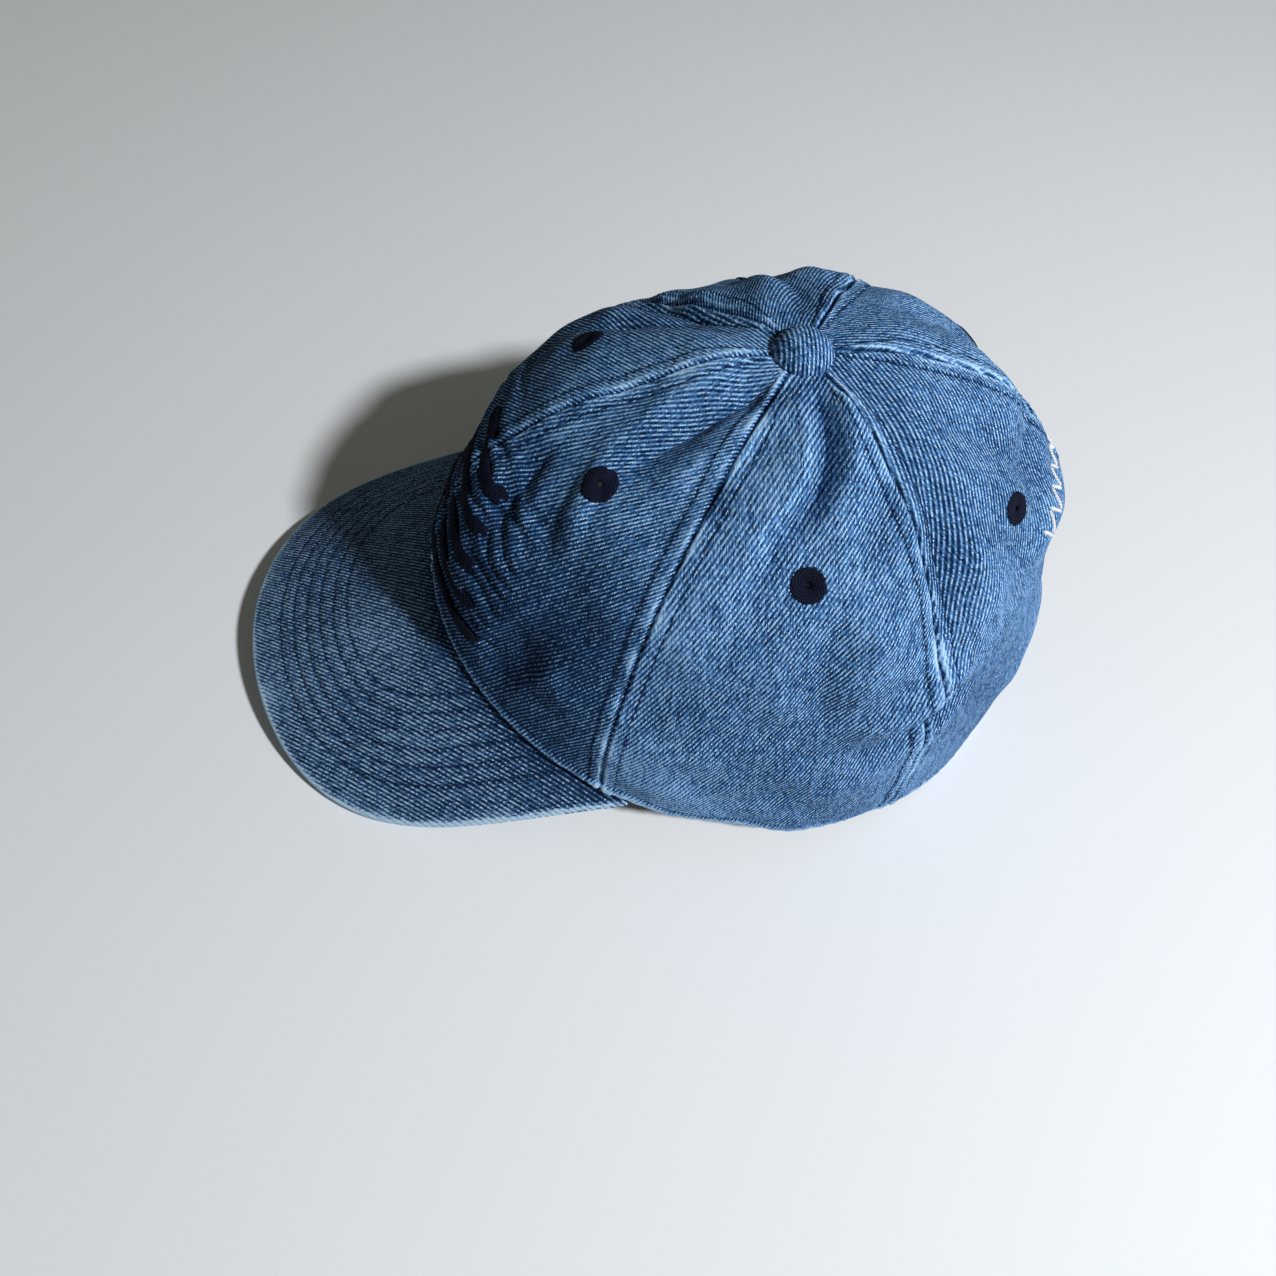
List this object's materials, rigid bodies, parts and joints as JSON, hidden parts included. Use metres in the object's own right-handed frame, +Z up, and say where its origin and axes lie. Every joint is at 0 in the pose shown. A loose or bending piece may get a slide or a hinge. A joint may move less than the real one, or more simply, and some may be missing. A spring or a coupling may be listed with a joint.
{
  "type": "baseball cap",
  "caption": "Soft denim baseball cap with panelled crown, stitched eyelets, covered button, curved brim and buckled rear strap.",
  "frame": {"origin": "middle of the cap's footprint on the surface that it stands on", "axes": "+Z up, the brim points to -Y, the wearer's left is +X"},
  "size_m": [0.161, 0.2533, 0.1396],
  "materials": {
    "denim": "washed blue right-hand twill",
    "denim_facing": "plain cotton facing",
    "eyelet_thread": "dark navy satin stitch",
    "seam_tape": "woven navy tape",
    "sweatband": "plain-woven cotton",
    "label": "blank woven satin",
    "brim_board": "moulded sheet",
    "metal": "stamped",
    "buckle_metal": "worn antique brass"
  },
  "bodies": {
    "root": {"front_left_panel": "denim", "front_left_eyelet": "eyelet_thread", "side_left_panel": "denim", "side_left_eyelet": "eyelet_thread", "rear_left_panel": "denim", "rear_left_eyelet": "eyelet_thread", "rear_right_panel": "denim", "rear_right_eyelet": "eyelet_thread", "side_right_panel": "denim", "side_right_eyelet": "eyelet_thread", "front_right_panel": "denim", "front_right_eyelet": "eyelet_thread", "front_seam_tape": "seam_tape", "front_left_seam_tape": "seam_tape", "rear_left_seam_tape": "seam_tape", "rear_seam_tape": "seam_tape", "rear_right_seam_tape": "seam_tape", "front_right_seam_tape": "seam_tape", "sweatband": "sweatband", "care_label": "label", "opening_facing": "denim_facing", "brim_top_cloth": "denim", "brim_board": "brim_board", "brim_edge_seam": "denim", "brim_under_cloth": "denim", "button_cover": "denim", "button_shell": "metal", "button_rivet": "metal", "button_washer": "metal", "buckle_frame": "buckle_metal", "buckle_pin": "buckle_metal", "buckle_loop": "denim"},
    "strap": {"rear_strap": "denim"},
    "lever": {"buckle_lever": "buckle_metal"}
  },
  "joints": [
    {"name": "strap_slide", "type": "hinge", "parent": "root", "child": "strap", "pos_m": [0, 0.05645, 0.012], "axis": [0, 0, 1], "range_deg": [-8.5, 8.5]},
    {"name": "buckle_lever_hinge", "type": "hinge", "parent": "root", "child": "lever", "pos_m": [-0.01706, 0.12413, 0.012], "axis": [0, 0, -1], "range_deg": [0, 105]}
  ]
}
